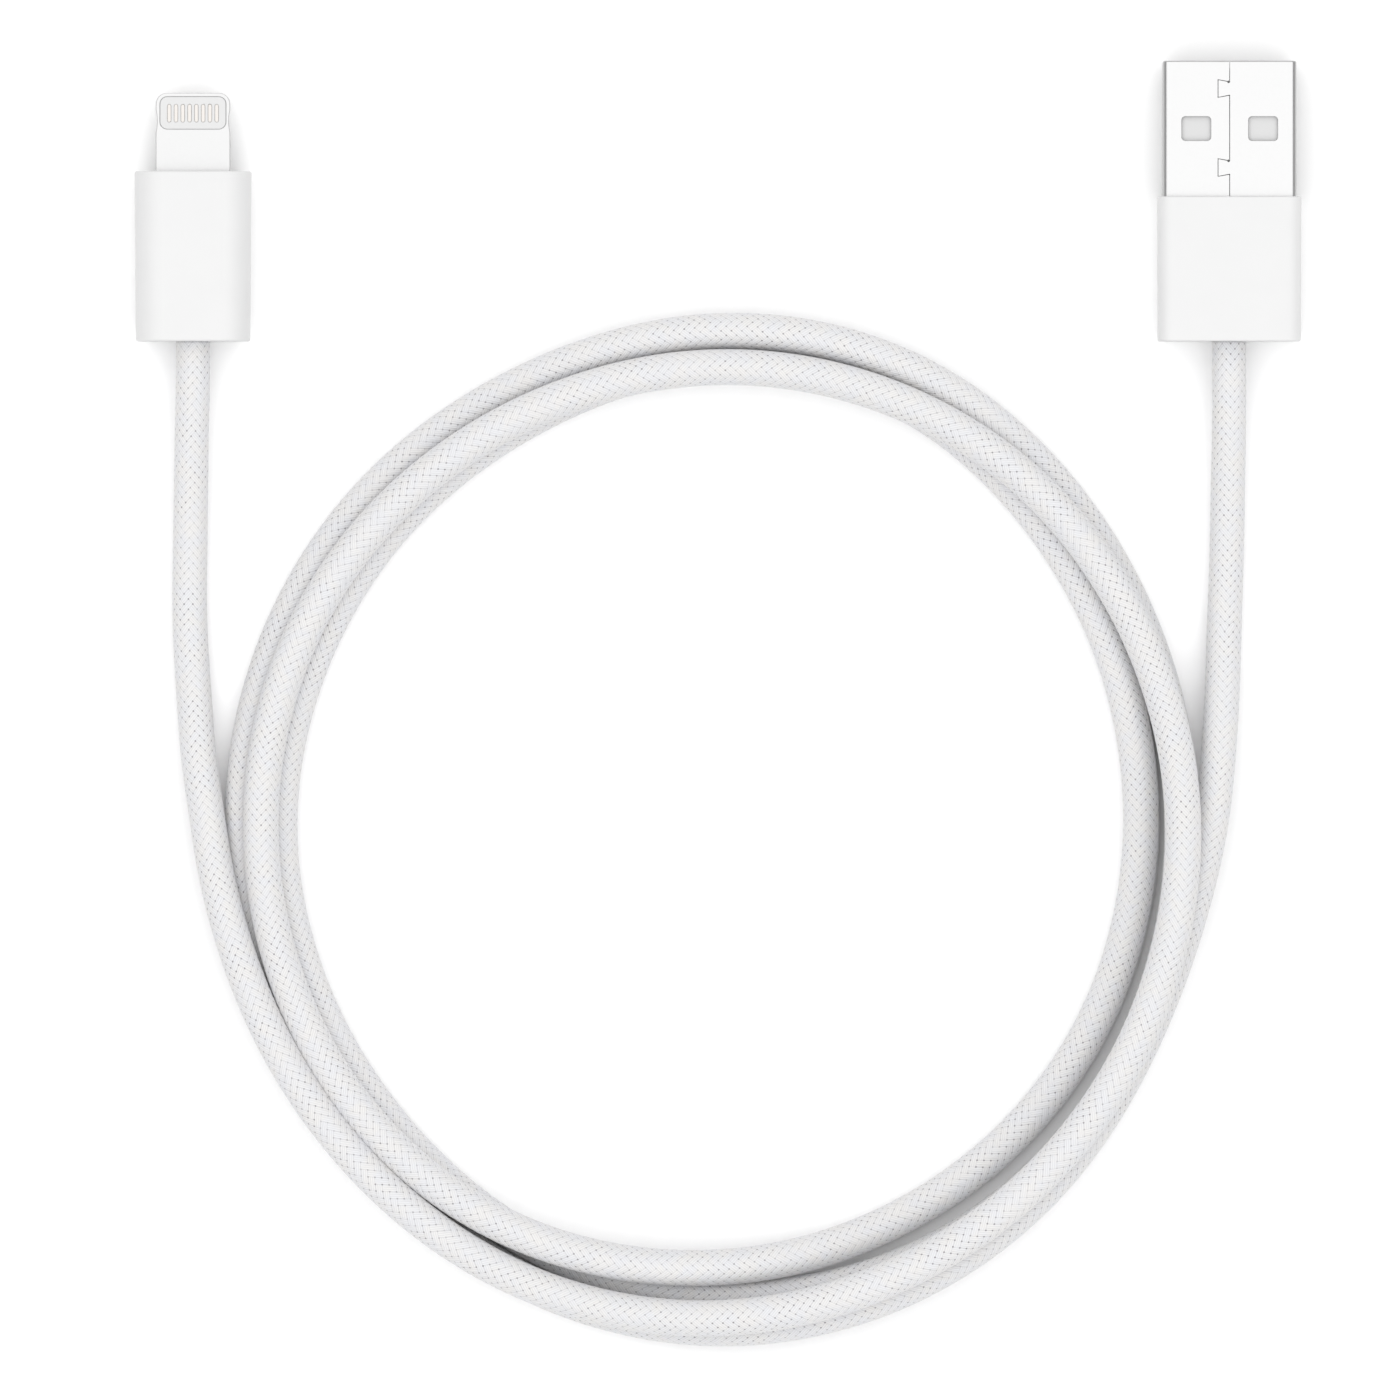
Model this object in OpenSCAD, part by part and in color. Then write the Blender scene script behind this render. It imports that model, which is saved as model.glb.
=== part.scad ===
// Charging cable: a braided cord wound into a flat coil, with a phone plug on one end and a host plug
// on the other. It lies on z = 0, with both plugs side by side and pointing along +Y: the phone plug on
// the left and the host plug on the right. The origin is the middle of the two plugs, on the surface.
// Each plug is drawn in its own frame: y = 0 at its flat rear face, +Y towards its tip, and x = z = 0 on
// its axis. at_phone() and at_host() put those frames where the plugs lie. All sizes are in millimetres.

/* [Layout] */
// Width over both plugs
overall_w = 104.9; // [104:0.1:106]
// Distance from the middle of the plugs back to the centre of the coil
coil_back = 56.4; // [56:0.1:57]
// Sideways distance of the centre of the coil from the middle of the plugs
coil_side = -0.6; // [-1:0.1:0]

/* [Cord] */
// Diameter of the braided cord
cord_d = 3.1; // [2.9:0.1:3.2]
// Inner radius of the coil
coil_inner_r = 36.9; // [35:0.1:38]
// Outer radius of the coil
coil_outer_r = 46.6; // [46.3:0.1:47]
// Height of the coil, which is three strands high where its turns cross
coil_h = 9.6; // [9:0.1:10]

/* [Phone plug] */
// Width of the housing
phone_w = 10.5; // [10:0.1:11]
// Thickness of the housing
phone_t = 6; // [5.8:0.1:6.6]
// Length of the housing
phone_l = 15.3; // [15:0.1:18]
// Corner radius of the housing's section
phone_r = 2.6; // [1.6:0.1:2.8]
// Width of the metal tab
tab_w = 6.7; // [6.6:0.05:6.8]
// Thickness of the metal tab
tab_t = 1.5; // [1.4:0.05:1.6]
// How far the metal tab stands out of the housing
tab_out = 7.05; // [6.8:0.05:7.2]

/* [Host plug] */
// Width of the housing
host_w = 12.9; // [12.7:0.1:14]
// Thickness of the housing
host_t = 6.6; // [6.4:0.1:7.5]
// Length of the housing
host_l = 13; // [12.6:0.1:16]
// Corner radius of the housing's section
host_r = 1.3; // [1.1:0.1:2]
// Width of the steel shell
shell_w = 12; // [11.9:0.05:12.1]
// Thickness of the steel shell, over its two faces
shell_t = 4.5; // [4.4:0.05:4.6]
// How far the steel shell stands out of the housing
shell_out = 12.2; // [11.8:0.1:12.5]

/* [Hidden] */
$fn = 48;

// Small overlap that keeps a cut from ending exactly on a face
cut = 0.1;

// Where the plugs lie
rear_y = -(host_l + shell_out) / 2;
phone_x = -(overall_w - phone_w) / 2;
host_x = (overall_w - host_w) / 2;
phone_z = phone_t / 2;
host_z = host_t / 2;

// Cord build-up, from the outside in
cord_r = cord_d / 2;
jacket_r = cord_r - 0.3;
wire_r = 0.33;
wire_bend_y = 3.9;
wire_from_axis = 0.4;

// Clamping of the cord, the same in both plugs: the sleeve ends first, and the shield is folded back
sleeve_end_y = 2.4;
shield_end_y = 3.4;
jacket_end_y = 3.7;
crimp_y = 1;
crimp_r = cord_r + 0.35;
channel_w = 3.6;
channel_t = 2.4;

// Phone plug, inside
phone_wall = 0.7;
can_y = 5.2;
tab_y = phone_l - 2.5;
can_w = 8;
can_t = 3.6;
can_wall = 0.15;
board_y = 6;
board_w = 7;
board_t = 0.6;
board_front_gap = 0.3;
tongue_w = 5;
phone_wire_end_y = 7;
phone_pad_x = 1.6;
phone_solder_r = 0.5;
control_chip = [2.6, 2.6, 0.7];
power_chip = [1.8, 1.8, 0.6];
chip_y = 9.6;
capacitor = [0.5, 0.9, 0.45];
capacitor_x = 2.5;
capacitor_ys = [8.9, 10.5];

// Phone plug, tab: the contact window, the eight contacts and the notch in each edge
tip_y = phone_l + tab_out;
tab_corner_r = 1;
window_w = 5.9;
window_l = 2.9;
window_r = 0.65;
window_from_tip = 0.35;
carrier_recess = 0.05;
contact_count = 8;
contact_pitch = 0.61;
contact_w = 0.34;
contact_l = 1.6;
contact_from_tip = 1.83;
notch_l = 2;
notch_depth = 0.12;
notch_from_tip = 2.55;
notch_r = (pow(notch_l / 2, 2) + pow(notch_depth, 2)) / (2 * notch_depth);

// Host plug, inside
host_wall = 0.6;
host_cavity_r = host_r - (host_w - shell_w) / 2;
shield_y = 4.2;
shield_w = 11;
shield_t = 4.3;
shield_wall = 0.2;
shell_y = 7;
shell_wall = 0.3;
shell_r = 0.5;
block_y = shell_y + 0.5;
block_end_y = 12;
contact_tail_y = 5.6;
host_tip_y = host_l + shell_out;
tongue_end_y = host_tip_y - 0.6;
host_tongue_w = 11.1;
host_tongue_t = 1.9;
host_contact_t = 0.25;
host_contact_w = 1;
power_contact_x = 3.5;
data_contact_x = 1;
power_contact_end_y = tongue_end_y - 0.8;
data_contact_end_y = power_contact_end_y - 1;
host_wire_end_y = 6.2;
host_solder_r = 0.45;

// Host plug, shell: two latch windows in each face, and the folded seam with its two dovetail keys. A small
// relief hole is cut where the front of each key meets the seam
latch_x = 3;
latch_y = 19.1;
latch_w = 2.65;
latch_l = 2.2;
latch_r = 0.35;
seam_gap = 0.04;
key_ys = [15.6, 22.7];
key_out = 1.05;
key_neck_w = 1.2;
key_end_w = 1.6;
relief_r = 0.1;

// Ends of each wire's bend, as x and z: in the cord, at the phone plug's board and at the host contacts
phone_pad_z = board_t / 2 + wire_r;
host_pad_z = -host_contact_t - wire_r;

// Cord routes from each plug's rear face, straight out, down to the surface and on to the coil
phone_route = [
    [phone_x, rear_y, phone_z], [phone_x, -16, phone_z], [-47.3, -20, 2.8], [-47.4, -26, 2],
    [-47.5, -32, 1.6], [-47.5, -38, 1.6], [-47.1, -45, 1.6], [-46.7, -50, 1.7], [-46, -55, 2.5],
    [-45.2, -60, 3.6], [-44, -65, 4.3]
];
host_route = [
    [host_x, rear_y, host_z], [host_x, -16, host_z], [46, -20, 3], [45.9, -26, 2.1], [45.8, -32, 1.6],
    [45.6, -38, 1.6], [45.4, -44, 1.6], [45, -50, 2.2], [44.3, -56, 3.6], [43, -62, 4.5]
];
strand_sides = 8;

// ---- frames and shared shapes ----

module at_phone() {
    translate([phone_x, rear_y, phone_z]) children();
}

module at_host() {
    translate([host_x, rear_y, host_z]) children();
}

// A centred rectangle with round corners, made of true arcs
module rounded_rect(w, h, r) {
    square([w - 2 * r, h], center = true);
    square([w, h - 2 * r], center = true);
    for (x = [-1, 1], y = [-1, 1])
        translate([x * (w / 2 - r), y * (h / 2 - r)]) circle(r);
}

// Extrudes a section drawn in x and z from y0 to y1
module along(y0, y1) {
    translate([0, y1, 0]) rotate([90, 0, 0]) linear_extrude(y1 - y0) children();
}

// Extrudes an outline drawn in x and y from z0 to z1
module upright(z0, z1) {
    translate([0, 0, z0]) linear_extrude(z1 - z0) children();
}

module bar(y0, y1, w, t) {
    along(y0, y1) square([w, t], center = true);
}

module rounded_bar(y0, y1, w, t, r) {
    along(y0, y1) rounded_rect(w, t, r);
}

module rod(y0, y1, r) {
    along(y0, y1) circle(r);
}

module tube(y0, y1, outer_r, inner_r) {
    along(y0, y1) difference() {
        circle(outer_r);
        circle(inner_r);
    }
}

// The half of its children above the plug's axis (side = 1) or below it (side = -1)
module half(side, w, l, t) {
    intersection() {
        children();
        translate([-w, 0, side > 0 ? 0 : -t]) cube([2 * w, l, t]);
    }
}

// ---- the cord ----

function unit(v) = v / norm(v);
function heading(route, i) = unit(route[min(i + 1, len(route) - 1)] - route[max(i - 1, 0)]);
function ring_point(route, i, angle, r) =
    let (ahead = heading(route, i), side = unit(cross(ahead, [0, 0, 1])), up = cross(side, ahead))
    route[i] + r * (cos(angle) * side + sin(angle) * up);

// A round strand along a route: one ring of points at each route point, and flat ends
module strand(route, r) {
    n = strand_sides;
    last = n * (len(route) - 1);
    points = [
        for (i = [0:len(route) - 1]) for (k = [0:n - 1]) ring_point(route, i, (k + 0.5) * 360 / n, r)
    ];
    walls = [
        for (i = [0:len(route) - 2]) for (k = [0:n - 1])
            let (a = i * n + k, b = i * n + (k + 1) % n)
            each [[a, a + n, b], [b, a + n, b + n]]
    ];
    ends = [[for (k = [0:n - 1]) k], [for (k = [n - 1:-1:0]) last + k]];
    polyhedron(points, concat(walls, ends));
}

// The outer shape of the wound turns
module coil_shape() {
    wound_w = coil_outer_r - coil_inner_r;
    translate([coil_side, -coil_back, 0])
        rotate_extrude()
            translate([coil_inner_r + wound_w / 2, coil_h / 2]) rounded_rect(wound_w, coil_h, cord_r);
}

module cord_coil() {
    color("whitesmoke") coil_shape();
}

// Each tail ends where it joins the outer turn
module phone_tail() {
    color("whitesmoke") difference() {
        strand(phone_route, cord_r);
        coil_shape();
    }
}

module host_tail() {
    color("whitesmoke") difference() {
        strand(host_route, cord_r);
        coil_shape();
    }
}

module in_both_plugs() {
    at_phone() children();
    at_host() children();
}

module cord_sleeve_ends() {
    color("whitesmoke") in_both_plugs() tube(0, sleeve_end_y, cord_r, jacket_r);
}

module cord_shield_ends() {
    color("peru") in_both_plugs() tube(sleeve_end_y, shield_end_y, cord_r, jacket_r);
}

module cord_jacket_ends() {
    color("white") in_both_plugs() difference() {
        rod(0, jacket_end_y, jacket_r);
        for (x = [-1, 1], z = [-1, 1])
            translate([x * wire_from_axis, 0, z * wire_from_axis]) rod(-cut, jacket_end_y + cut, wire_r);
    }
}

// One wire inside a plug: straight in the cord, then bent out to its pad, and straight along it
module wire_end(x, z, pad_x, pad_z, bend_end_y, end_y) {
    start = [x * wire_from_axis, 0, z * wire_from_axis];
    bend = [start[0], wire_bend_y, start[2]];
    strand([start, bend - [0, wire_r, 0], bend, [pad_x, bend_end_y, pad_z], [pad_x, end_y, pad_z]], wire_r);
}

// One wire of the cord at both of its ends. x and z say which quarter of the cord it runs in.
module cord_wire(x, z, host_pad_x) {
    at_phone() wire_end(x, z, x * phone_pad_x, z * phone_pad_z, board_y, phone_wire_end_y);
    at_host() wire_end(x, z, host_pad_x, host_pad_z, contact_tail_y, host_wire_end_y);
}

module power_wire() {
    color("red") cord_wire(-1, 1, -power_contact_x);
}

module ground_wire() {
    color("black") cord_wire(1, 1, power_contact_x);
}

module data_plus_wire() {
    color("green") cord_wire(1, -1, data_contact_x);
}

module data_minus_wire() {
    color("white") cord_wire(-1, -1, -data_contact_x);
}

// ---- shared parts of the two plugs ----

module crimp_ring() {
    tube(crimp_y, shield_end_y, crimp_r, cord_r);
}

// Room for the clamped cord end and for the wires that fan out of it, up to y1
module cord_end_room(y0, y1) {
    rod(y0 - cut, shield_end_y, crimp_r);
    bar(shield_end_y - cut, y1 + cut, channel_w, channel_t);
}

// A drop of solder in front of the flat end of a wire
module solder_joint(wire_end, r) {
    translate(wire_end) difference() {
        sphere(r);
        translate([-2 * r, -2 * r, -2 * r]) cube([4 * r, 2 * r, 4 * r]);
    }
}

// ---- phone plug ----

module phone_housing() {
    color("white") at_phone() difference() {
        rounded_bar(0, phone_l, phone_w, phone_t, phone_r);
        phone_cavity(phone_l + cut);
        rod(-cut, phone_wall + cut, cord_r);
    }
}

module phone_cavity(y1) {
    rounded_bar(phone_wall, y1, phone_w - 2 * phone_wall, phone_t - 2 * phone_wall, phone_r - phone_wall);
}

module phone_inner_mould() {
    color("gainsboro") at_phone() difference() {
        phone_cavity(phone_l);
        bar(can_y, tab_y, can_w, can_t);
        bar(tab_y - cut, phone_l + cut, tab_w, tab_t);
        cord_end_room(phone_wall, can_y);
    }
}

module tab_outline() {
    translate([0, (tab_y + tip_y) / 2]) rounded_rect(tab_w, tip_y - tab_y, tab_corner_r);
    translate([-tab_w / 2, tab_y]) square([tab_w, tab_corner_r]);
}

module window_outline() {
    translate([0, tip_y - window_from_tip - window_l / 2]) rounded_rect(window_w, window_l, window_r);
}

module contact_outlines() {
    for (i = [0:contact_count - 1])
        translate([(i - (contact_count - 1) / 2) * contact_pitch, tip_y - contact_from_tip]) {
            square([contact_w, contact_l - contact_w], center = true);
            for (end = [-1, 1]) translate([0, end * (contact_l - contact_w) / 2]) circle(contact_w / 2);
        }
}

module phone_tab() {
    color("silver") at_phone() difference() {
        upright(-tab_t / 2, tab_t / 2) difference() {
            tab_outline();
            window_outline();
            for (x = [-1, 1])
                translate([x * (tab_w / 2 - notch_depth + notch_r), tip_y - notch_from_tip]) circle(notch_r);
        }
        bar(tab_y - cut, tip_y - window_from_tip - window_l + cut, tongue_w, board_t);
    }
}

// side = 1 is the upper face of the tab and -1 its lower face
module on_tab_face(side, top) {
    low = board_t / 2;
    at_phone() upright(side > 0 ? low : -top, side > 0 ? top : -low) children();
}

module contact_carrier(side) {
    on_tab_face(side, tab_t / 2 - carrier_recess) difference() {
        window_outline();
        contact_outlines();
    }
}

module phone_upper_contact_carrier() {
    color("lightgray") contact_carrier(1);
}

module phone_lower_contact_carrier() {
    color("lightgray") contact_carrier(-1);
}

module phone_upper_contacts() {
    color("gold") on_tab_face(1, tab_t / 2) contact_outlines();
}

module phone_lower_contacts() {
    color("gold") on_tab_face(-1, tab_t / 2) contact_outlines();
}

module phone_board_body() {
    bar(board_y, tab_y - board_front_gap, board_w, board_t);
    bar(board_y, tip_y - window_from_tip - window_r, tongue_w, board_t);
}

module phone_board() {
    color("darkgreen") at_phone() phone_board_body();
}

module phone_control_chip() {
    color("dimgray") at_phone()
        translate([-control_chip[0] / 2, chip_y - control_chip[1] / 2, board_t / 2]) cube(control_chip);
}

module phone_power_chip() {
    color("dimgray") at_phone()
        translate([-power_chip[0] / 2, chip_y - power_chip[1] / 2, -board_t / 2 - power_chip[2]])
            cube(power_chip);
}

module phone_capacitors() {
    color("tan") at_phone()
        for (x = [-1, 1], y = capacitor_ys)
            translate([x * capacitor_x - capacitor[0] / 2, y - capacitor[1] / 2, board_t / 2]) cube(capacitor);
}

module phone_can(side) {
    at_phone() half(side, can_w, phone_l, can_t) difference() {
        bar(can_y, tab_y, can_w, can_t);
        bar(can_y + can_wall, tab_y - can_wall, can_w - 2 * can_wall, can_t - 2 * can_wall);
        bar(can_y - cut, can_y + can_wall + cut, channel_w, channel_t);
        bar(tab_y - can_wall - cut, tab_y + cut, tongue_w, board_t);
    }
}

module phone_upper_can() {
    color("silver") phone_can(1);
}

module phone_lower_can() {
    color("silver") phone_can(-1);
}

module phone_solder_joints() {
    color("lightsteelblue") at_phone() difference() {
        for (x = [-1, 1], z = [-1, 1])
            solder_joint([x * phone_pad_x, phone_wire_end_y, z * phone_pad_z], phone_solder_r);
        phone_board_body();
    }
}

module phone_crimp_ring() {
    color("silver") at_phone() crimp_ring();
}

// ---- host plug ----

module host_cavity(y1) {
    rounded_bar(host_wall, y1, shell_w, host_t - 2 * host_wall, host_cavity_r);
}

module host_housing() {
    color("white") at_host() difference() {
        rounded_bar(0, host_l, host_w, host_t, host_r);
        host_cavity(host_l + cut);
        rod(-cut, host_wall + cut, cord_r);
    }
}

module host_inner_mould() {
    color("gainsboro") at_host() difference() {
        host_cavity(host_l);
        bar(shield_y, shell_y, shield_w, shield_t);
        rounded_bar(shell_y, host_l + cut, shell_w, shell_t, shell_r);
        cord_end_room(host_wall, shield_y);
    }
}

// One dovetail key, from the seam to the left, grown by a margin on every side
module key_outline(margin) {
    neck = key_neck_w / 2 + margin;
    end = key_end_w / 2 + margin;
    out = key_out + margin;
    polygon([[margin, -neck], [margin, neck], [-out, end], [-out, -end]]);
}

module seam_outline() {
    difference() {
        union() {
            translate([-seam_gap / 2, shell_y - cut]) square([seam_gap, host_tip_y - shell_y + 2 * cut]);
            for (y = key_ys) translate([0, y]) key_outline(seam_gap / 2);
        }
        for (y = key_ys) translate([0, y]) key_outline(-seam_gap / 2);
        for (y = key_ys) translate([0, y]) key_opening();
    }
    for (y = key_ys) translate([-relief_r, y + key_neck_w / 2]) circle(relief_r);
}

// Where the key joins its own half, there is no seam
module key_opening() {
    open_w = key_neck_w - seam_gap;
    translate([-seam_gap, -open_w / 2]) square([2 * seam_gap, open_w]);
}

module latch_outlines() {
    for (x = [-1, 1]) translate([x * latch_x, latch_y]) rounded_rect(latch_w, latch_l, latch_r);
}

module host_shell() {
    inside_w = shell_w - 2 * shell_wall;
    inside_t = shell_t - 2 * shell_wall;
    color("silver") at_host() difference() {
        rounded_bar(shell_y, host_tip_y, shell_w, shell_t, shell_r);
        rounded_bar(shell_y - cut, host_tip_y + cut, inside_w, inside_t, shell_r - shell_wall);
        upright(-shell_t, shell_t) latch_outlines();
        upright(inside_t / 2 - cut, shell_t) seam_outline();
    }
}

// Contact strips on the underside of the tongue, at both signs of x
module host_contact_pair(x, end_y) {
    for (side = [-1, 1])
        translate([side * x - host_contact_w / 2, contact_tail_y, -host_contact_t])
            cube([host_contact_w, end_y - contact_tail_y, host_contact_t]);
}

module host_contact_strips() {
    host_contact_pair(power_contact_x, power_contact_end_y);
    host_contact_pair(data_contact_x, data_contact_end_y);
}

module host_insulator() {
    block_w = shell_w - 2 * shell_wall;
    block_t = shell_t - 2 * shell_wall;
    color("whitesmoke") at_host() difference() {
        union() {
            rounded_bar(block_y, block_end_y, block_w, block_t, shell_r - shell_wall);
            translate([0, 0, host_tongue_t / 2])
                bar(block_end_y - cut, tongue_end_y, host_tongue_w, host_tongue_t);
        }
        host_contact_strips();
    }
}

module host_power_contacts() {
    color("gold") at_host() host_contact_pair(power_contact_x, power_contact_end_y);
}

module host_data_contacts() {
    color("gold") at_host() host_contact_pair(data_contact_x, data_contact_end_y);
}

module host_rear_shield(side) {
    at_host() half(side, shield_w, host_l, shield_t) difference() {
        bar(shield_y, shell_y, shield_w, shield_t);
        bar(shield_y + shield_wall, shell_y + cut, shield_w - 2 * shield_wall, shield_t - 2 * shield_wall);
        bar(shield_y - cut, shield_y + shield_wall + cut, channel_w, channel_t);
    }
}

module host_upper_rear_shield() {
    color("silver") host_rear_shield(1);
}

module host_lower_rear_shield() {
    color("silver") host_rear_shield(-1);
}

module host_solder_joints() {
    color("lightsteelblue") at_host() difference() {
        for (x = [power_contact_x, data_contact_x], side = [-1, 1])
            solder_joint([side * x, host_wire_end_y, host_pad_z], host_solder_r);
        host_contact_strips();
    }
}

module host_crimp_ring() {
    color("silver") at_host() crimp_ring();
}

phone_housing();
phone_inner_mould();
phone_tab();
phone_upper_contact_carrier();
phone_lower_contact_carrier();
phone_upper_contacts();
phone_lower_contacts();
phone_board();
phone_control_chip();
phone_power_chip();
phone_capacitors();
phone_upper_can();
phone_lower_can();
phone_solder_joints();
phone_crimp_ring();
host_housing();
host_inner_mould();
host_shell();
host_insulator();
host_power_contacts();
host_data_contacts();
host_upper_rear_shield();
host_lower_rear_shield();
host_solder_joints();
host_crimp_ring();
phone_tail();
host_tail();
cord_coil();
cord_sleeve_ends();
cord_jacket_ends();
cord_shield_ends();
power_wire();
ground_wire();
data_plus_wire();
data_minus_wire();
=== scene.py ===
"""A braided charging cable, coiled, with a phone plug on one end and a host plug on the other.

The braided cord is a mesh made here. The plugs' visible pieces, down to their contacts, are finer
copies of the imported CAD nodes, and the pieces inside the plugs are those nodes themselves. Lengths
are in metres.
"""

import math

import bmesh
import bpy
import numpy as np
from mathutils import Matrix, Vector


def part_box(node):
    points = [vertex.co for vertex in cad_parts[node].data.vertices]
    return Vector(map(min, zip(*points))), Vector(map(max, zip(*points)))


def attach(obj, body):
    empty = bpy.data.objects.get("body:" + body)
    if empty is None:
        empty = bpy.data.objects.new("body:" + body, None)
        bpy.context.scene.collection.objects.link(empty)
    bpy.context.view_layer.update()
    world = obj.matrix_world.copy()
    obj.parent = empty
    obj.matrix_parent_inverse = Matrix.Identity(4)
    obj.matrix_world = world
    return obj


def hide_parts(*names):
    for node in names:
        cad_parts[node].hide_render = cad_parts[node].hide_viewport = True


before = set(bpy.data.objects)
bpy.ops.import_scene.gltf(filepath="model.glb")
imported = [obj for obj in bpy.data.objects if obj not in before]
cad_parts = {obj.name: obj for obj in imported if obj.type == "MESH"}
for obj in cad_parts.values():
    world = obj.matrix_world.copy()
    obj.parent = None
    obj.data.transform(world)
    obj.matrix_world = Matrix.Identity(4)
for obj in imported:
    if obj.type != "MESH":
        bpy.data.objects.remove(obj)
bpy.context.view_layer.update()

MM = 0.001
BODY = "root"

# Camera: straight above the coil, far enough away to show no sides
VIEW_CENTRE = Vector((-0.0016, -0.04485, 0.003))
VIEW_WIDTH = 0.12594
CAMERA_DISTANCE = 2.4
SENSOR_WIDTH_MM = 36.0
CLIP_END = 20

# Studio
WORLD_STRENGTH = 0.55
FLOOR_HALF = 12.0
FLOOR_GREY = 0.95
FLOOR_ROUGHNESS = 0.9
SOFTBOX_WIDTH = 5.4
SOFTBOX_LENGTH = 10.0
SOFTBOX_HEIGHT = 2.5
SOFTBOX_WATTS = 201

# Cord
TAIL_RADIUS = 1.55 * MM
COIL_RADIUS = 1.64 * MM
WIDENING = 60 * MM  # length over which a tail grows to the coil's radius
TAIL_DROP = 26 * MM  # length in which each tail comes down from its plug to the floor

# How the cord lies on itself
STEP_UP = 2.8 * MM  # from one level of the coil to the next
CLEARLY_OVER = 1.1 * MM  # a strand this much higher at its stations lies on the other
OTHER_STRAND = 20 * MM  # points further apart than this along the cord are on different strands
CONTACT = 3.05 * MM  # centre to centre, where one strand lies on another
HUMP_RADIUS = 60 * MM  # how sharply a strand bends over another
HUMP_REACH = 40 * MM  # length on each side of a crossing that its hump may take
SOFTENING = 3 * MM  # length over which the heights are evened out
GAUSSIAN_REACH = 3  # widths on each side of its middle that a Gaussian is followed
SPLINE_STEP = 0.2 * MM
SETTLE_STEP = 0.5 * MM
SETTLING_ROUNDS = 8

# Braid: columns of holes round the cord, and rows of holes along it
COLUMNS = 24
ROW = 0.93 * MM
POINTS_PER_COLUMN = 2
RINGS_PER_ROW = 4
SIDES = COLUMNS * POINTS_PER_COLUMN
RING_STEP = ROW / RINGS_PER_ROW  # about, because the rings are spaced evenly from end to end
OVER = 2  # yarns that a yarn passes over, and then under, at a time
FILAMENTS = 3  # bundles of filaments side by side in each yarn
YARN_HEIGHT = 0.05 * MM
HOLE_DEPTH = 0.06 * MM
HOLE_REACH = 0.1  # yarn widths from a corner of four yarns to the edge of its hole
SAMPLE_SHIFT = 0.1  # yarn widths from a point to each of the four places that its relief averages
TWIST = 2.4  # radians per metre, so that the columns wander round the cord

# Braid colours: the yarn's own tints, and painted shade for the grooves between filaments, the yarns' edges
# and the holes
CREAM = (0.70, 0.69, 0.68, 1)
LAVENDER = (0.675, 0.68, 0.70, 1)
# Painted shade: darker colours for the grooves between filaments, the creases at the yarns' edges and the
# holes
FILAMENT_GROOVE_SHADE = (0.42, 0.41, 0.43, 1)
YARN_EDGE_SHADE = (0.35, 0.34, 0.36, 1)
HOLE_SHADE = (0.2, 0.19, 0.2, 1)

# How much each feature of the braid adds to its bump
FILAMENT_BUMP = -0.3
FUZZ_BUMP = 0.5
CROWN_BUMP = 0.6

# The cord's route where it isn't coiled, as in the part's source
PHONE_ROUTE = [
    (-0.0472, -0.0126, 0.0030),
    (-0.0472, -0.0160, 0.0030),
    (-0.0473, -0.0200, 0.0028),
    (-0.0474, -0.0260, 0.0020),
    (-0.0475, -0.0320, 0.0016),
    (-0.0475, -0.0380, 0.0016),
    (-0.0471, -0.0450, 0.0016),
    (-0.0467, -0.0500, 0.0017),
    (-0.0460, -0.0550, 0.0025),
    (-0.0452, -0.0600, 0.0036),
    (-0.0440, -0.0650, 0.0043),
]
HOST_ROUTE = [
    (0.0460, -0.0126, 0.0033),
    (0.0460, -0.0160, 0.0033),
    (0.0460, -0.0200, 0.0030),
    (0.0459, -0.0260, 0.0021),
    (0.0458, -0.0320, 0.0016),
    (0.0456, -0.0380, 0.0016),
    (0.0454, -0.0440, 0.0016),
    (0.0450, -0.0500, 0.0022),
    (0.0443, -0.0560, 0.0036),
    (0.0430, -0.0620, 0.0045),
]

# The coil, anticlockwise. Station 0 is its left side, where the first turn gives way to the phone
# tail, so that turn starts at station 1. Each row is a turn: the radius in mm at each station, and
# the level there (1 on the floor, 2 on one strand, 3 on two).
COIL_CENTRE = (-0.0006, -0.0564)
STATIONS = 16
FIRST_STATION = 1
TURN_RADII = [
    [43.75, 43.62, 44.05, 44.0, 43.45, 42.95, 42.6, 42.4, 42.25, 42.25, 41.95, 41.45, 40.9, 40.75, 40.7],
    [40.5, 40.5, 40.55, 40.15, 39.5, 39.0, 38.75, 38.65, 38.7, 39.35, 40.65, 42.2, 42.0, 40.35, 39.45, 38.95],
    [38.85, 38.75, 39.3, 40.7, 42.1, 42.9, 43.0, 42.65, 42.4, 42.7, 43.85, 45.0, 44.7, 43.5, 42.95, 42.5],
    [42.2, 42.3, 42.85, 44.05, 44.95, 44.9, 44.05, 43.2],
]
TURN_LEVELS = [
    [2, 2, 2, 2, 3, 3, 3, 3, 2, 2, 2, 2, 2, 2, 2],
    [2, 2, 2, 2, 2, 1, 1, 1, 1, 1, 1, 1, 1, 1, 1, 1],
    [1, 1, 1, 1, 1, 1, 1, 1, 1, 1, 1, 1.5, 1.5, 1.5, 1, 1],
    [1, 1, 1, 1, 1.5, 2, 2, 2],
]

# Plugs: for each node, the radius in mm of the edges of its front and rear faces, the radius of its
# other sharp edges, and how much narrower it is at its rear
FINE_PARTS = {
    "phone_housing": (0.2, 0.06, 0.02),
    "phone_tab": (0.1, 0.1, 0.0),
    "phone_upper_contact_carrier": (0.05, 0.05, 0.0),
    "phone_lower_contact_carrier": (0.05, 0.05, 0.0),
    "phone_upper_contacts": (0.04, 0.04, 0.0),
    "phone_lower_contacts": (0.04, 0.04, 0.0),
    "host_housing": (0.15, 0.06, 0.006),
    "host_shell": (0.16, 0.03, 0.0),
    "host_insulator": (0.1, 0.1, 0.0),
    "host_power_contacts": (0.05, 0.05, 0.0),
    "host_data_contacts": (0.05, 0.05, 0.0),
}
MERGE = 1e-7
FLAT = math.radians(1)
SHARP = math.radians(35)
ROUNDING_STEPS = 3


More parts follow.
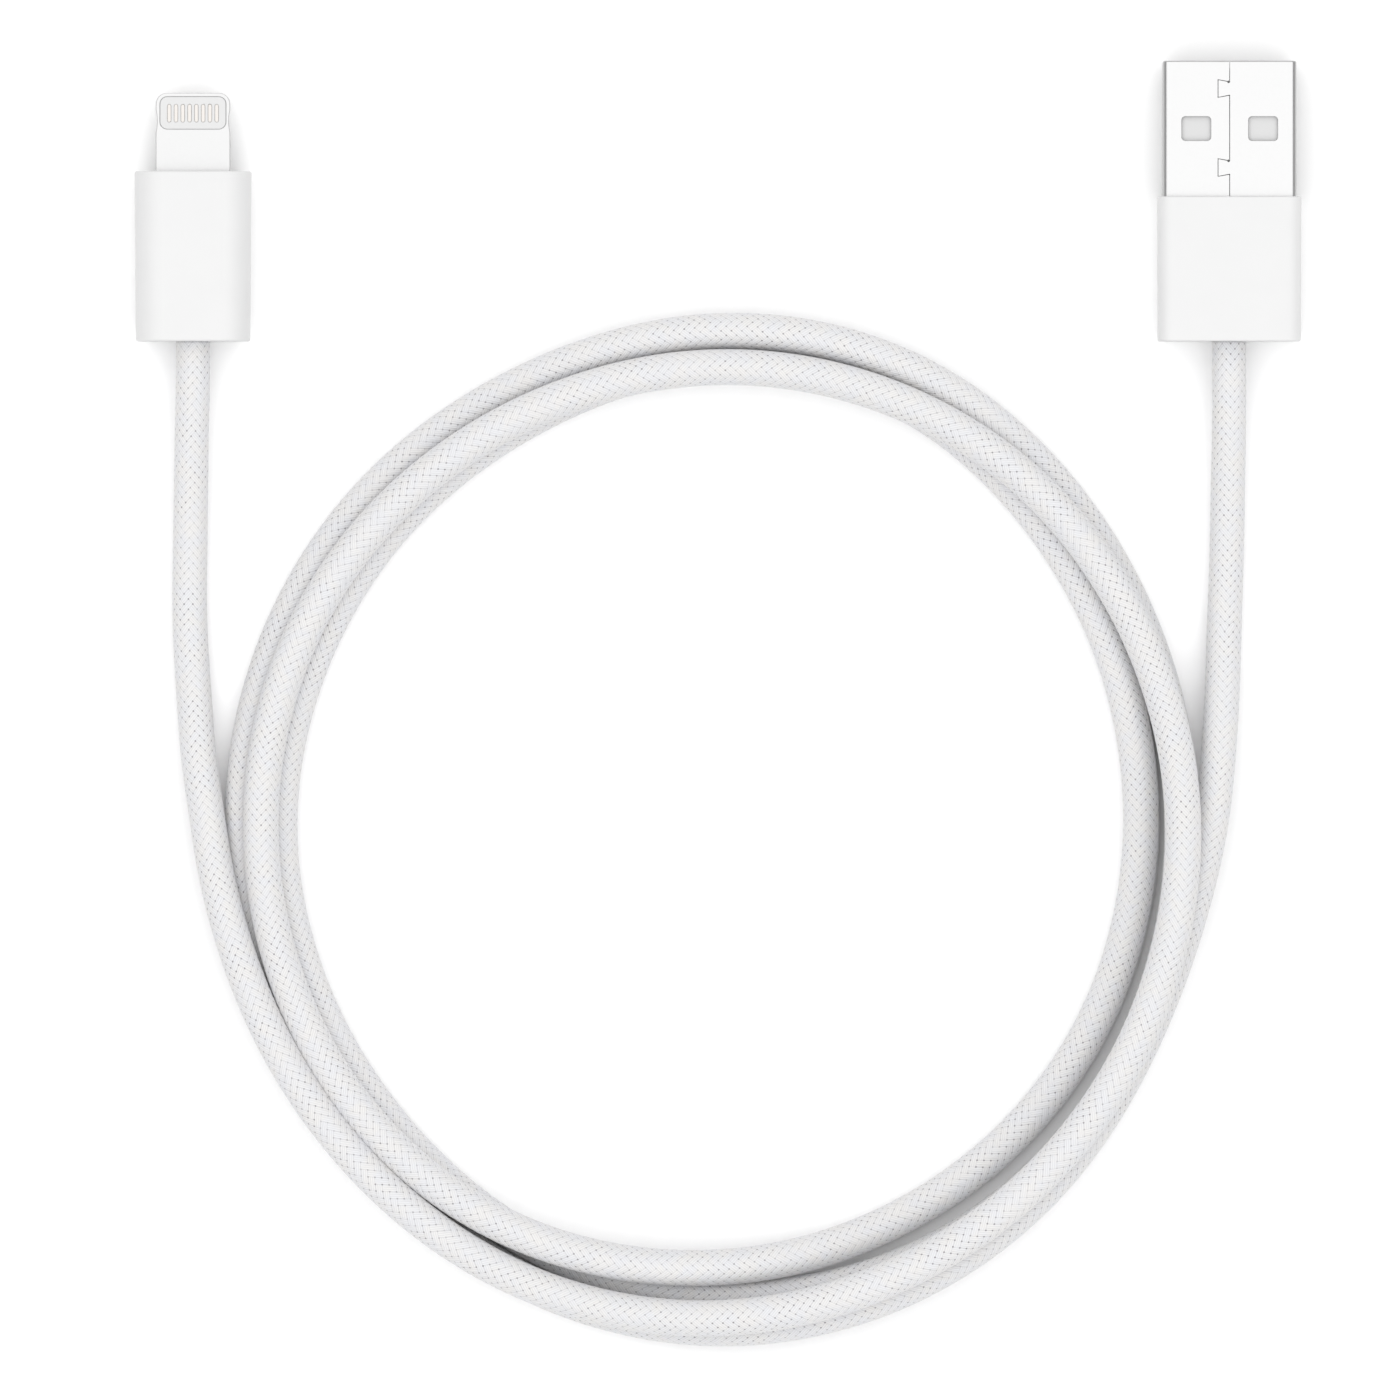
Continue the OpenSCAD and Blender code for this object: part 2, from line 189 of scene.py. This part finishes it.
def grey(level):
    """A colour with no tint."""
    return (level, level, level)


# The colour and roughness of each plain material, by the record's slot
PLASTICS = {
    "housing": (grey(0.665), 0.5),
    "mould": ((0.64, 0.64, 0.635), 0.55),
    "carrier": (grey(0.61), 0.5),
    "board": ((0.05, 0.2, 0.1), 0.4),
    "chip": (grey(0.03), 0.4),
    "ceramic_chip": ((0.4, 0.3, 0.2), 0.4),
    "insulator": (grey(0.57), 0.5),
    "jacket": (grey(0.5), 0.5),
    "wire_red": ((0.5, 0.02, 0.02), 0.4),
    "wire_black": (grey(0.02), 0.4),
    "wire_green": ((0.02, 0.3, 0.05), 0.4),
    "wire_white": (grey(0.7), 0.4),
}
METALS = {
    "tab_metal": (grey(0.56), 0.3),
    "contact": ((0.565, 0.54, 0.515), 0.3),
    "can": (grey(0.6), 0.35),
    "solder": (grey(0.55), 0.35),
    "shield_braid": (grey(0.5), 0.4),
}
BRAID_END = (grey(0.7), 0.8)  # where the braid ends inside the plugs
MOTTLE = 0.97  # the darker patches of a plain material, against its own colour

# The host plug's steel: its faces, the darker patches on them, and a painted dark reflection where the sheet
# turns down
STEEL_GREY = 0.578
STEEL_MOTTLE_GREY = 0.563
# Painted reflection: the grey that stands in for the dark surroundings reflected where the sheet turns down
STEEL_PAINTED_REFLECTION_GREY = 0.43
STEEL_ROUGHNESS = (0.28, 0.33)
BENT_NORMAL = 0.917  # a surface is turned down where its normal's upward part is below this
FLAT_NORMAL = 0.995  # and flat where it is above this


# ---------------------------------------------------------------- camera

def make_camera():
    """A long lens straight above, with the photograph's framing."""
    data = bpy.data.cameras.new("camera")
    data.sensor_width = SENSOR_WIDTH_MM
    data.lens = SENSOR_WIDTH_MM * CAMERA_DISTANCE / VIEW_WIDTH
    data.clip_end = CLIP_END
    camera = bpy.data.objects.new("camera", data)
    camera.location = VIEW_CENTRE + Vector((0, 0, CAMERA_DISTANCE))
    bpy.context.collection.objects.link(camera)
    bpy.context.scene.camera = camera


# ---------------------------------------------------------------- node helpers

def rgba(color, shade=1.0):
    """The colour times shade, with full alpha."""
    return (*(channel * shade for channel in color), 1)


class Nodes:
    """A material's node tree, with short calls for the nodes used here."""

    # A Mix node's sockets for each kind: the share, a and b, and the result
    MIX_SOCKETS = {"RGBA": (0, 6, 7, 2), "FLOAT": (0, 2, 3, 0)}

    def __init__(self, name):
        self.material = bpy.data.materials.new(name)
        self.material.use_nodes = True
        self.tree = self.material.node_tree
        self.shader = self.tree.nodes["Principled BSDF"]

    def add(self, kind, **settings):
        """A new node with these settings."""
        node = self.tree.nodes.new(kind)
        for name, value in settings.items():
            setattr(node, name, value)
        return node

    def set(self, socket, value):
        """Links a socket to value if that is a socket too, and otherwise sets it."""
        if isinstance(value, bpy.types.NodeSocket):
            self.tree.links.new(value, socket)
        else:
            socket.default_value = value

    def math(self, operation, a, b=0.0, c=0.0):
        """The result of an operation on numbers or sockets."""
        node = self.add("ShaderNodeMath", operation=operation)
        for socket, value in zip(node.inputs, (a, b, c)):
            self.set(socket, value)
        return node.outputs[0]

    def mix(self, share, a, b, kind="RGBA"):
        """a where share is 0 and b where it is 1. They are colours, or numbers if kind is FLOAT."""
        node = self.add("ShaderNodeMix", data_type=kind)
        *inputs, result = self.MIX_SOCKETS[kind]
        for index, value in zip(inputs, (share, a, b)):
            self.set(node.inputs[index], value)
        return node.outputs[result]

    def ramp(self, value, low, high, at_low=0.0, at_high=1.0):
        """value from low to high, smoothly, as at_low to at_high."""
        node = self.add("ShaderNodeMapRange", interpolation_type="SMOOTHSTEP")
        for socket, number in zip(node.inputs, (value, low, high, at_low, at_high)):
            self.set(socket, number)
        return node.outputs[0]

    def noise(self, scale, detail=2.0):
        """Noise that stays with the object, with about scale features to the metre."""
        node = self.add("ShaderNodeTexNoise")
        self.set(node.inputs["Vector"], self.add("ShaderNodeTexCoord").outputs["Object"])
        self.set(node.inputs["Scale"], scale)
        self.set(node.inputs["Detail"], detail)
        return node.outputs[0]

    def xyz(self, vector):
        """The three parts of a vector."""
        node = self.add("ShaderNodeSeparateXYZ")
        self.set(node.inputs[0], vector)
        return node.outputs

    def bump(self, height, strength, distance):
        """Gives the material a fine relief that its shading shows."""
        node = self.add("ShaderNodeBump")
        self.set(node.inputs["Strength"], strength)
        self.set(node.inputs["Distance"], distance)
        self.set(node.inputs["Height"], height)
        self.set(self.shader.inputs["Normal"], node.outputs[0])

    def finish(self, **inputs):
        """Sets the shader's inputs, with _ for each space in their names, and gives the material."""
        for name, value in inputs.items():
            self.set(self.shader.inputs[name.replace("_", " ")], value)
        return self.material


# ---------------------------------------------------------------- the cord's line

def distances(points):
    """Each point's distance along the line from its start."""
    return np.r_[0, np.cumsum(np.linalg.norm(np.diff(points, axis=0), axis=1))]


def natural_spline(points, step):
    """A natural cubic spline through the points, sampled about every step."""
    points = np.array(points)
    knots = distances(points)
    gaps = np.diff(knots)
    slopes = np.diff(points, axis=0) / gaps[:, None]
    count = len(points)
    system = np.eye(count)
    right = np.zeros_like(points)
    for i in range(1, count - 1):
        system[i, i - 1 : i + 2] = gaps[i - 1], 2 * (gaps[i - 1] + gaps[i]), gaps[i]
        right[i] = 6 * (slopes[i] - slopes[i - 1])
    bends = np.linalg.solve(system, right)
    at = np.linspace(0, knots[-1], int(knots[-1] / step) + 1)
    i = np.clip(np.searchsorted(knots, at, side="right") - 1, 0, count - 2)
    a = ((knots[i + 1] - at) / gaps[i])[:, None]
    b = 1 - a
    square = (gaps[i] ** 2)[:, None]
    curve = a * points[i] + b * points[i + 1]
    return curve + ((a**3 - a) * bends[i] + (b**3 - b) * bends[i + 1]) * square / 6


def evenly(points, step):
    """The same line from end to end, with its points evenly spaced, about step apart."""
    along = distances(points)
    at = np.linspace(0, along[-1], round(along[-1] / step) + 1)
    return np.stack([np.interp(at, along, points[:, k]) for k in range(3)], axis=1)


def coil_points():
    """The coil's turns as points, from after the phone tail joins to before the host tail leaves."""
    radii = [radius for turn in TURN_RADII for radius in turn]
    levels = [level for turn in TURN_LEVELS for level in turn]
    points = []
    for station, (radius, level) in enumerate(zip(radii, levels), start=FIRST_STATION):
        angle = math.pi + 2 * math.pi * (station % STATIONS) / STATIONS
        x = COIL_CENTRE[0] + radius * MM * math.cos(angle)
        y = COIL_CENTRE[1] + radius * MM * math.sin(angle)
        points.append((x, y, COIL_RADIUS + (level - 1) * STEP_UP))
    return points


def crossings(line):
    """Each pair of points where one strand lies over another, and how far apart in height they lie."""
    across = line[:, None, :2] - line[None, :, :2]
    apart = np.hypot(across[..., 0], across[..., 1])
    order = np.arange(len(line))
    other_strand = np.abs(order[:, None] - order[None, :]) * SETTLE_STEP > OTHER_STRAND
    over = line[:, None, 2] - line[None, :, 2] > CLEARLY_OVER
    above, below = np.nonzero((apart < CONTACT) & other_strand & over)
    lift = np.sqrt(CONTACT**2 - apart[above, below] ** 2)
    return above, below, lift


def spread_hump(height):
    """Heights that a cord laid over these keeps, when it can't bend more sharply than HUMP_RADIUS."""
    reach = int(HUMP_REACH / SETTLE_STEP)
    padded = np.pad(height, reach, mode="edge")
    drop = (np.arange(-reach, reach + 1) * SETTLE_STEP) ** 2 / (2 * HUMP_RADIUS)
    windows = np.lib.stride_tricks.sliding_window_view(padded, 2 * reach + 1)
    return (windows - drop).max(axis=1)


def soften(values, width):
    """values with a Gaussian of this many samples run over them."""
    reach = int(GAUSSIAN_REACH * width)
    kernel = np.exp(-0.5 * (np.arange(-reach, reach + 1) / width) ** 2)
    padded = np.pad(values, reach, mode="edge")
    return np.convolve(padded, kernel / kernel.sum(), mode="valid")


def settle(line):
    """Lays the cord down: each strand rests on the floor or on the strands that it lies over."""
    above, below, lift = crossings(line)
    order = np.arange(len(line))
    near_plug = np.minimum(order, order[::-1]) * SETTLE_STEP < TAIL_DROP
    floor = np.where(near_plug, line[:, 2], COIL_RADIUS)
    height = floor
    for _ in range(SETTLING_ROUNDS):
        needed = floor.copy()
        np.maximum.at(needed, above, height[below] + lift)
        height = soften(spread_hump(needed), SOFTENING / SETTLE_STEP)
    settled = line.copy()
    settled[:, 2] = np.where(near_plug, line[:, 2], height)
    return settled


def cord_line():
    """The cord's centreline from the phone plug to the host plug, with a point for each ring."""
    route = PHONE_ROUTE + coil_points() + HOST_ROUTE[::-1]
    line = evenly(natural_spline(route, SPLINE_STEP), SETTLE_STEP)
    return evenly(settle(line), RING_STEP)


# ---------------------------------------------------------------- the cord's mesh

def yarn_crown(first, second):
    """0 at the edges of the yarn on top and 1 along its middle, for yarns two over and two under."""
    first_on_top = np.mod(np.floor(first) - np.floor(second), 2 * OVER) < OVER
    return np.where(first_on_top, np.abs(np.sin(np.pi * first)), np.abs(np.sin(np.pi * second)))


def braid_relief(around, along):
    """How far the surface stands out: crowned yarns, and a hole where four of them meet."""
    first = along + around / 2
    second = along - around / 2
    shifts = (SAMPLE_SHIFT, -SAMPLE_SHIFT)
    relief = 0.0
    for shift_first in shifts:
        for shift_second in shifts:
            crown = yarn_crown(first + shift_first, second + shift_second)
            relief = relief + crown * YARN_HEIGHT / len(shifts) ** 2
    at_first_edge = np.abs(first - np.rint(first)) < HOLE_REACH
    at_second_edge = np.abs(second - np.rint(second)) < HOLE_REACH
    return np.where(at_first_edge & at_second_edge, -HOLE_DEPTH, relief - YARN_HEIGHT)


def cord_radii(travelled):
    """The cord's radius along its length, slim at both plugs and growing smoothly to the coil's."""
    from_end = np.minimum(travelled, travelled[-1] - travelled)
    share = np.clip(from_end / WIDENING, 0, 1)
    grown = share * share * (3 - 2 * share)
    return TAIL_RADIUS + (COIL_RADIUS - TAIL_RADIUS) * grown


def unit(vectors):
    """The same directions, each with a length of 1."""
    return vectors / np.linalg.norm(vectors, axis=1)[:, None]


def tube_points(line):
    """The tube's points, a ring of them round each point of the line, with the braid in relief."""
    tangent = unit(np.gradient(line, axis=0))
    sideways = unit(np.cross([0.0, 0.0, 1.0], tangent))
    upward = np.cross(tangent, sideways)
    travelled = distances(line)
    columns = np.arange(SIDES) / POINTS_PER_COLUMN
    rows = np.arange(len(line)) / RINGS_PER_ROW
    around, along = np.meshgrid(columns, rows)
    angle = 2 * np.pi * around / COLUMNS + TWIST * travelled[:, None]
    out = cord_radii(travelled)[:, None] + braid_relief(around, along)
    to_side = (out * np.cos(angle))[..., None] * sideways[:, None, :]
    to_top = (out * np.sin(angle))[..., None] * upward[:, None, :]
    return (line[:, None, :] + to_side + to_top).reshape(-1, 3)


def tube_faces(ring, side, rings):
    """The tube's quads, and the two caps that close its ends against the plugs."""
    here = ring * SIDES + side
    beside = ring * SIDES + (side + 1) % SIDES
    quads = np.stack([here, beside, beside + SIDES, here + SIDES], axis=-1).reshape(-1, 4)
    first_cap = list(range(SIDES))[::-1]
    last_cap = list(range((rings - 1) * SIDES, rings * SIDES))
    return quads.tolist() + [first_cap, last_cap]


def map_braid(mesh, ring, side):
    """The mesh's UVs: columns round the cord and rows along it, for the braid's material."""
    columns = np.stack([side, side + 1, side + 1, side], axis=-1).ravel() / POINTS_PER_COLUMN
    rows = np.stack([ring, ring, ring + 1, ring + 1], axis=-1).ravel() / RINGS_PER_ROW
    corners = np.zeros((len(mesh.loops), 2))
    corners[: len(columns)] = np.stack([columns, rows], axis=1)
    uv = mesh.uv_layers.new(name="braid")
    uv.data.foreach_set("uv", corners.ravel())


def smooth(mesh):
    """Shades the mesh smoothly."""
    mesh.polygons.foreach_set("use_smooth", np.ones(len(mesh.polygons), dtype=bool))


def make_cord(line):
    """The braided cord as one tube along the line."""
    rings = len(line)
    ring, side = np.meshgrid(np.arange(rings - 1), np.arange(SIDES), indexing="ij")
    mesh = bpy.data.meshes.new("braided_cord")
    mesh.from_pydata(tube_points(line).tolist(), [], tube_faces(ring, side, rings))
    smooth(mesh)
    map_braid(mesh, ring, side)
    mesh.materials.append(braid_material())
    mesh.validate()
    cord = bpy.data.objects.new("braided_cord", mesh)
    bpy.context.collection.objects.link(cord)
    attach(cord, BODY)
    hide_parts("phone_tail", "host_tail", "cord_coil")
    return cord


# ---------------------------------------------------------------- the braid's material

def braid_pattern(n):
    """Each point's distance from the nearest hole, and its place across its yarn and the filaments."""
    column, row, _ = n.xyz(n.add("ShaderNodeUVMap", uv_map="braid").outputs[0])
    half = n.math("MULTIPLY", column, 0.5)
    first = n.math("ADD", row, half)
    second = n.math("SUBTRACT", row, half)

    squares = []
    for place in (first, second):
        from_edge = n.math("SUBTRACT", place, n.math("ROUND", place))
        squares.append(n.math("POWER", from_edge, 2.0))
    from_hole = n.math("SQRT", n.math("ADD", *squares))

    difference = n.math("SUBTRACT", n.math("FLOOR", first), n.math("FLOOR", second))
    first_on_top = n.math("LESS_THAN", n.math("FLOORED_MODULO", difference, 2 * OVER), OVER)
    across = n.mix(first_on_top, second, first, kind="FLOAT")
    crown = n.math("ABSOLUTE", n.math("SINE", n.math("MULTIPLY", across, math.pi)))
    filaments = n.math("COSINE", n.math("MULTIPLY", across, 2 * math.pi * FILAMENTS))
    return from_hole, crown, filaments


def braid_color(n, from_hole, crown, filaments):
    """Faintly tinted yarn, with painted shade between filaments, at the yarns' edges and most of all in the
    holes.
    """
    # Painted shade in the holes, stronger in some holes than in others
    hole_shade_strength = n.ramp(n.noise(scale=400, detail=3), low=0.35, high=0.7, at_low=0.3)
    hole = n.math("MULTIPLY", n.ramp(from_hole, low=0.05, high=0.19, at_low=1.0, at_high=0.0), hole_shade_strength)
    # Painted shade in the grooves between filaments and in the creases at the yarns' edges
    between = n.ramp(filaments, low=-0.2, high=1.0, at_high=0.3)
    edge = n.ramp(crown, low=0.0, high=0.45, at_low=0.2, at_high=0.0)
    yarn = n.mix(n.ramp(n.noise(scale=700, detail=4), low=0.3, high=0.7), CREAM, LAVENDER)
    striped = n.mix(between, yarn, FILAMENT_GROOVE_SHADE)
    shaded = n.mix(edge, striped, YARN_EDGE_SHADE)
    return n.mix(hole, shaded, HOLE_SHADE)


def braid_material():
    """Matt woven nylon: holes where four yarns meet, fine filaments along each yarn, faint tints, and painted
    shade in the holes, at the yarns' edges and between filaments.
    """
    n = Nodes("braid")
    from_hole, crown, filaments = braid_pattern(n)
    height = n.math("MULTIPLY", filaments, FILAMENT_BUMP)
    height = n.math("MULTIPLY_ADD", n.noise(scale=9000), FUZZ_BUMP, height)
    height = n.math("MULTIPLY_ADD", crown, CROWN_BUMP, height)
    n.bump(height, strength=0.6, distance=0.06 * MM)
    color = braid_color(n, from_hole, crown, filaments)
    return n.finish(Base_Color=color, Roughness=0.85, Sheen_Weight=0.3, Sheen_Roughness=0.5)


# ---------------------------------------------------------------- plain materials

def plastic(name, color, roughness):
    """Moulded plastic: faint darker patches, and a fine grain in its relief and its gloss."""
    n = Nodes(name)
    tint = n.mix(n.noise(scale=300), rgba(color), rgba(color, MOTTLE))
    n.bump(n.noise(scale=20000), strength=0.12, distance=0.02 * MM)
    gloss = n.noise(scale=900, detail=3)
    rough = n.ramp(gloss, low=0.3, high=0.7, at_low=roughness - 0.04, at_high=roughness + 0.05)
    return n.finish(Base_Color=tint, Roughness=rough)


def finish_metal(n, tint, smoothest, roughest):
    """A metal of this tint, with a fine grain in its relief and its gloss."""
    n.bump(n.noise(scale=15000), strength=0.06, distance=0.01 * MM)
    rough = n.ramp(n.noise(scale=2500), low=0.2, high=0.8, at_low=smoothest, at_high=roughest)
    return n.finish(Base_Color=tint, Roughness=rough, Metallic=1.0)


def metal(name, color, roughness):
    """Plain metal with faint darker patches."""
    n = Nodes(name)
    tint = n.mix(n.noise(scale=4000, detail=3), rgba(color), rgba(color, MOTTLE))
    return finish_metal(n, tint, smoothest=roughness - 0.02, roughest=roughness + 0.02)


def shell_steel():
    """Bright steel, with a painted dark reflection where the sheet turns down at the plug's sides and at its
    cut edges.
    """
    n = Nodes("shell_steel")
    _, _, facing = n.xyz(n.add("ShaderNodeNewGeometry").outputs["Normal"])
    upright = n.math("ABSOLUTE", facing)
    # Painted reflection: surfaces that face sideways get a darker colour, standing in for the dark
    # surroundings that they would reflect
    painted_reflection = n.ramp(upright, low=BENT_NORMAL, high=FLAT_NORMAL, at_low=1.0, at_high=0.0)
    patches = n.noise(scale=4000, detail=3)
    face = n.mix(patches, rgba(grey(STEEL_GREY)), rgba(grey(STEEL_MOTTLE_GREY)))
    tint = n.mix(painted_reflection, face, rgba(grey(STEEL_PAINTED_REFLECTION_GREY)))
    return finish_metal(n, tint, *STEEL_ROUGHNESS)


def make_looks():
    """A material for each of the record's slots."""
    looks = {"shell_steel": shell_steel(), "braid": plastic("braid_end", *BRAID_END)}
    for slot, look in PLASTICS.items():
        looks[slot] = plastic(slot, *look)
    for slot, look in METALS.items():
        looks[slot] = metal(slot, *look)
    return looks


def slot_name(material):
    """The record's slot that a CAD node's material is for."""
    return material.name.split(".")[0]


def dress_cad_nodes(looks):
    """Gives each CAD node the material of its slot."""
    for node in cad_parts.values():
        for slot in node.material_slots:
            name = slot_name(slot.material)
            if name in looks:
                slot.material = looks[name]


# ---------------------------------------------------------------- plugs

def is_end_edge(edge, low, high):
    """Whether an edge is on the outline of the node's front or rear face."""
    middle = (edge.verts[0].co + edge.verts[1].co) / 2
    if min(middle.y - low.y, high.y - middle.y) > MERGE:
        return False
    outward = middle - (low + high) / 2
    outward.y = 0
    return all(face.normal.dot(outward) > -MERGE for face in edge.link_faces)


def weigh_edges(shape, low, high, end_radius, radius):
    """Marks each sharp edge with its share of the wider of the two radii."""
    weights = shape.edges.layers.float.new("bevel_weight_edge")
    for edge in shape.edges:
        if edge.calc_face_angle() > SHARP:
            own = end_radius if is_end_edge(edge, low, high) else radius
            edge[weights] = own / max(end_radius, radius)


def narrow_rear(shape, low, high, taper):
    """Makes the shape narrower towards its rear, by taper of its width at the rear face."""
    centre = (low + high) / 2
    for vertex in shape.verts:
        behind = (high.y - vertex.co.y) / (high.y - low.y)
        vertex.co.x = centre.x + (vertex.co.x - centre.x) * (1 - taper * behind)


def round_edges(piece, radius):
    """Rounds the piece's marked edges, and keeps its flat faces flat to the light."""
    rounding = piece.modifiers.new("rounding", "BEVEL")
    rounding.limit_method = "WEIGHT"
    rounding.width = radius
    rounding.segments = ROUNDING_STEPS
    rounding.use_clamp_overlap = False
    piece.modifiers.new("shading", "WEIGHTED_NORMAL")
    shaped = piece.evaluated_get(bpy.context.evaluated_depsgraph_get())
    mesh = bpy.data.meshes.new_from_object(shaped)
    piece.modifiers.clear()
    piece.data = mesh


def finer_copy(node, end_radius, radius, taper, looks):
    """Stands for a CAD node: the same shape with its sharp edges rounded, and narrower at its rear."""
    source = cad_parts[node]
    low, high = (Vector(corner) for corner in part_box(node))
    shape = bmesh.new()
    shape.from_mesh(source.data)
    bmesh.ops.remove_doubles(shape, verts=shape.verts, dist=MERGE)
    bmesh.ops.dissolve_limit(shape, angle_limit=FLAT, verts=shape.verts, edges=shape.edges)
    weigh_edges(shape, low, high, end_radius, radius)
    narrow_rear(shape, low, high, taper)
    mesh = bpy.data.meshes.new(node + "_fine")
    shape.to_mesh(mesh)
    shape.free()
    smooth(mesh)
    piece = bpy.data.objects.new("fine_" + node, mesh)
    bpy.context.collection.objects.link(piece)
    round_edges(piece, max(end_radius, radius) * MM)

    slot = slot_name(source.data.materials[0])
    piece.data.materials.append(looks[slot])
    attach(piece, BODY)
    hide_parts(node)
    return piece


def make_fine_parts(looks):
    """Replaces what shows of the plugs by finer copies."""
    return {node: finer_copy(node, *sizes, looks) for node, sizes in FINE_PARTS.items()}


# ---------------------------------------------------------------- studio

def make_world():
    """White light from all round."""
    world = bpy.data.worlds.new("studio")
    world.use_nodes = True
    background = world.node_tree.nodes["Background"]
    background.inputs["Color"].default_value = (1.0, 1.0, 1.0, 1)
    background.inputs["Strength"].default_value = WORLD_STRENGTH
    bpy.context.scene.world = world


def make_floor():
    """A white floor that reaches the horizon in every view."""
    mesh = bpy.data.meshes.new("floor")
    corners = [(-1, -1), (1, -1), (1, 1), (-1, 1)]
    mesh.from_pydata([(x * FLOOR_HALF, y * FLOOR_HALF, 0) for x, y in corners], [], [(0, 1, 2, 3)])
    n = Nodes("floor")
    mesh.materials.append(n.finish(Base_Color=rgba(grey(FLOOR_GREY)), Roughness=FLOOR_ROUGHNESS))
    floor = bpy.data.objects.new("floor", mesh)
    bpy.context.collection.objects.link(floor)


def make_softbox():
    """One wide soft light overhead."""
    light = bpy.data.lights.new("softbox", "AREA")
    light.shape = "RECTANGLE"
    light.size = SOFTBOX_WIDTH
    light.size_y = SOFTBOX_LENGTH
    light.energy = SOFTBOX_WATTS
    softbox = bpy.data.objects.new("softbox", light)
    softbox.location = (0, 0, SOFTBOX_HEIGHT)
    bpy.context.collection.objects.link(softbox)


make_camera()
cord_path = cord_line()
cord = make_cord(cord_path)
looks = make_looks()
fine = make_fine_parts(looks)
dress_cad_nodes(looks)
make_world()
make_floor()
make_softbox()
bpy.context.scene.view_settings.view_transform = "Standard"
